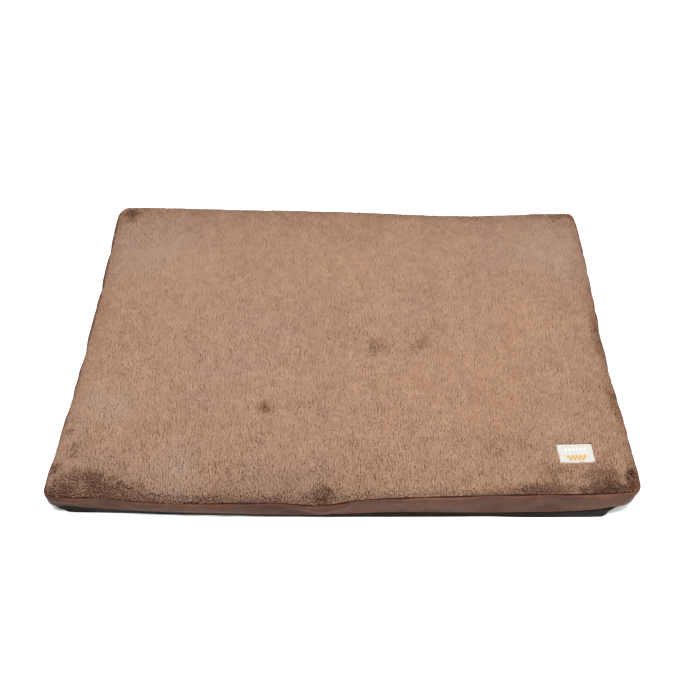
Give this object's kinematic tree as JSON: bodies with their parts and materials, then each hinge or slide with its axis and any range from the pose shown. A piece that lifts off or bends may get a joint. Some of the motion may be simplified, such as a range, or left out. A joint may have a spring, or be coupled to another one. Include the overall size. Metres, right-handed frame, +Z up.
{
  "type": "pet cushion bed",
  "caption": "Flat rectangular pet mattress: plush top, sueded boxing strip, grip base, zipped back with sliding pull, and a foam and wadding filling in a liner.",
  "frame": {"origin": "centre of the footprint, on the surface that the mattress lies on", "axes": "+X along the long side, +Z up, -Y the front with the label, +Y the back with the zip"},
  "size_m": [1, 0.7, 0.08],
  "materials": {
    "foam": "open-cell upholstery foam",
    "wadding": "fluffy polyester fibre",
    "liner_cloth": "plain thin cloth",
    "plush": "short brushed pile",
    "boxing_suede": "smooth suede cloth with a soft sheen",
    "grip_cloth": "plain weave with rubbery grip dots",
    "zip_tape": "woven tape",
    "zip_coil": "satin",
    "zip_metal": "antique satin",
    "label_cloth": "woven satin"
  },
  "bodies": {
    "mattress": {"foam_core": "foam", "wadding_top": "wadding", "wadding_base": "wadding", "liner_top": "liner_cloth", "liner_base": "liner_cloth", "plush_top_panel": "plush", "grip_base_panel": "grip_cloth", "boxing_strip": "boxing_suede", "boxing_back_upper": "boxing_suede", "boxing_back_lower": "boxing_suede", "zip_tape_upper": "zip_tape", "zip_tape_lower": "zip_tape", "zip_coil_upper": "zip_coil", "zip_coil_lower": "zip_coil", "zip_closed_stops": "zip_metal", "zip_open_stop": "zip_metal", "woven_label": "label_cloth"},
    "slider": {"zip_slider": "zip_metal", "zip_pull_pin": "zip_metal"},
    "pull": {"zip_pull_tab": "zip_metal"}
  },
  "joints": [
    {"name": "zip_slide", "type": "slide", "parent": "mattress", "child": "slider", "axis": [-1, 0, 0], "range_m": [0, 0.885]},
    {"name": "pull_swing", "type": "hinge", "parent": "slider", "child": "pull", "pos_m": [0.444, 0.3477, 0.0336], "axis": [0, 0, -1], "range_deg": [0, 170]}
  ]
}
